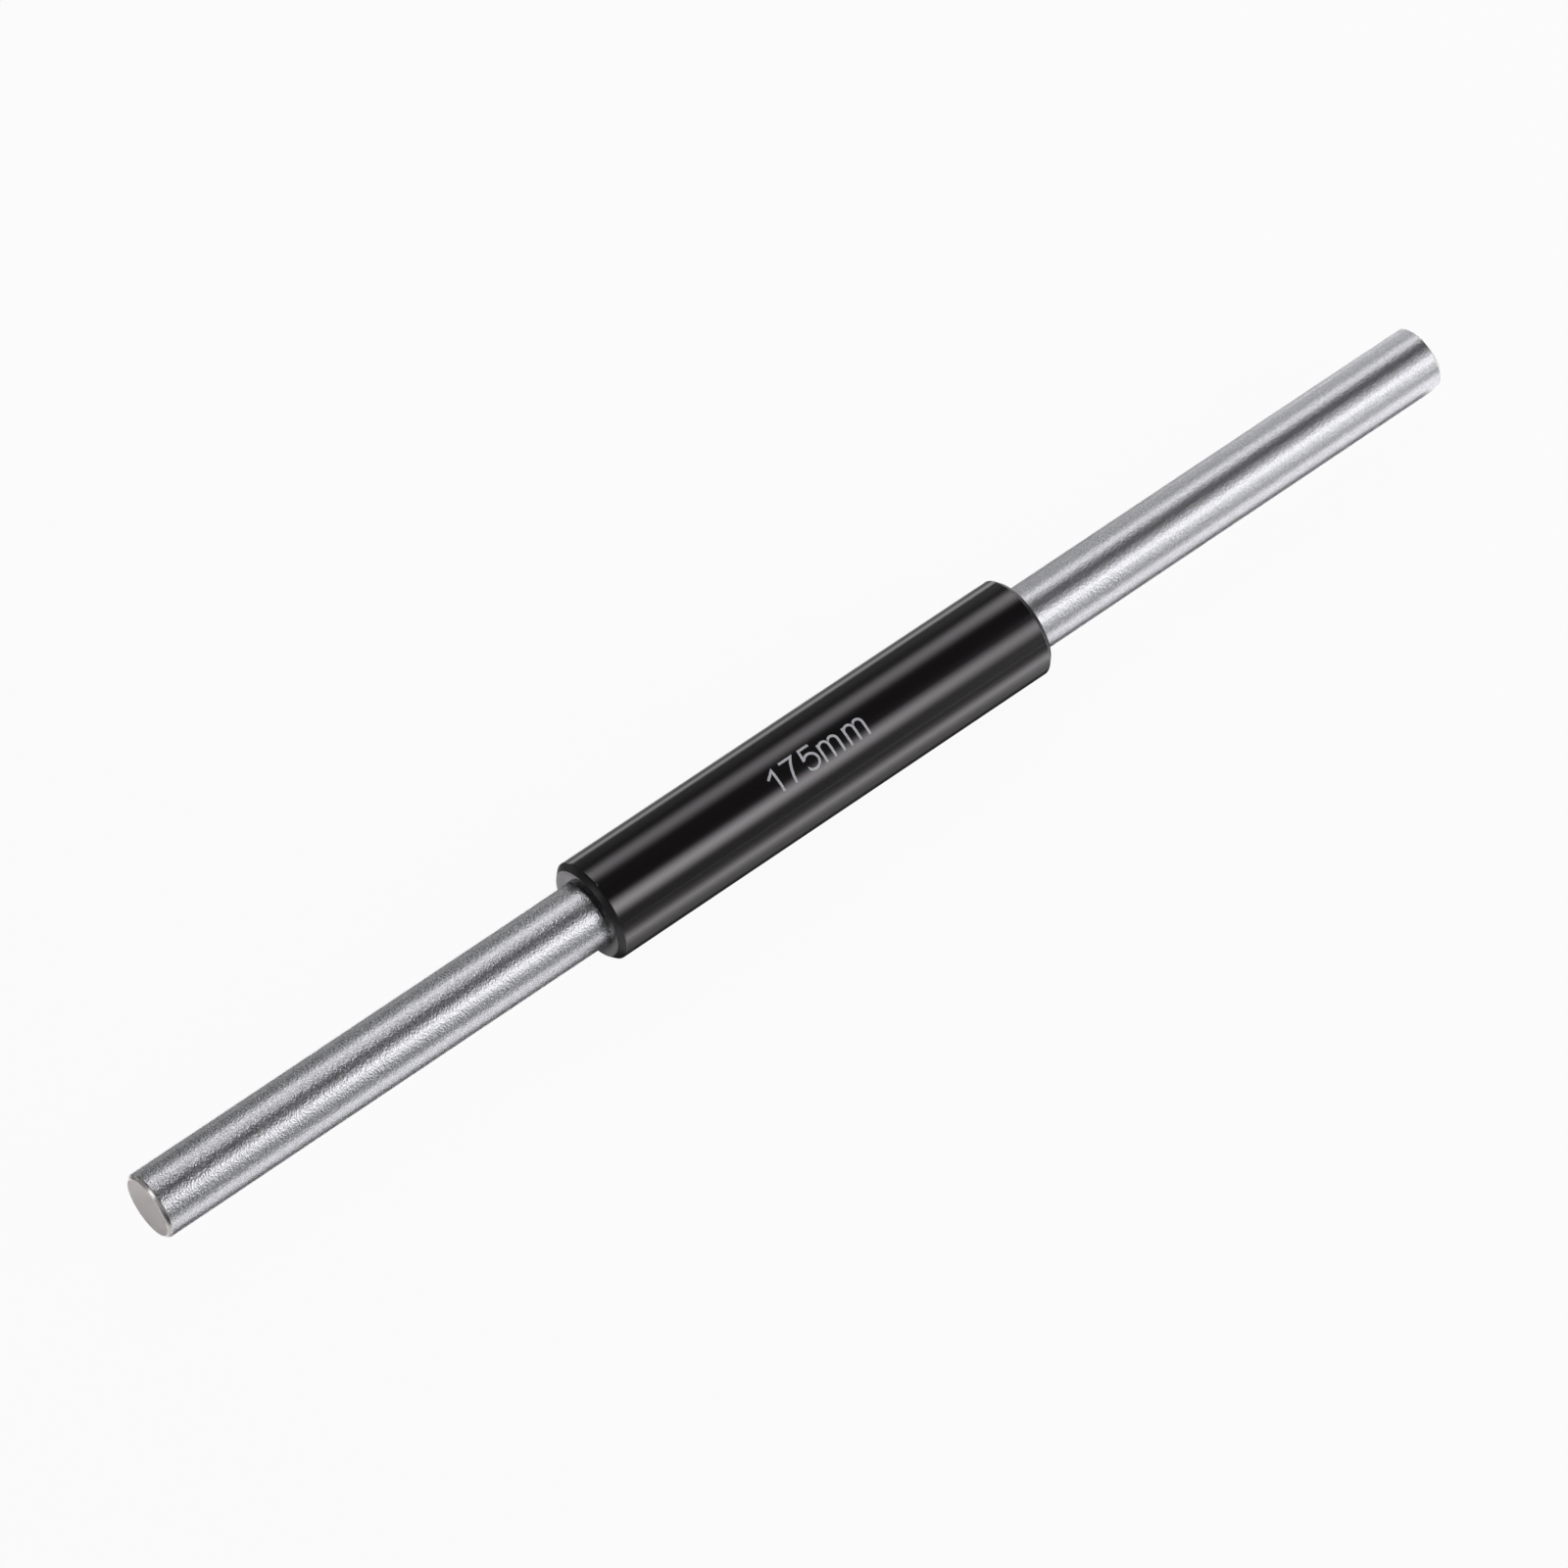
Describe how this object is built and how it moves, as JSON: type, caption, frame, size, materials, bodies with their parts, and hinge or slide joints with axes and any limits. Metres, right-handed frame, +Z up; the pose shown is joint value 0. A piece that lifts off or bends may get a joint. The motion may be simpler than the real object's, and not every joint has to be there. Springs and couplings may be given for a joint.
{
  "type": "micrometer setting standard",
  "caption": "Slender round steel gauge rod with flat lapped ends and a black insulating grip sleeve round its middle, for setting an outside micrometer.",
  "frame": {"origin": "on the bench, under the middle of the sleeve that the standard lies on", "axes": "+X along the measuring axis, +Z up from the bench, +Y across the rod"},
  "size_m": [0.175, 0.0119, 0.0119],
  "materials": {
    "ground_steel": "cylindrically ground, lapped on the end faces",
    "sleeve_plastic": "moulded glossy black",
    "marking_ink": "pale grey printed figures"
  },
  "bodies": {
    "root": {"gauge_rod": "ground_steel", "insulating_sleeve": "sleeve_plastic"}
  },
  "joints": []
}
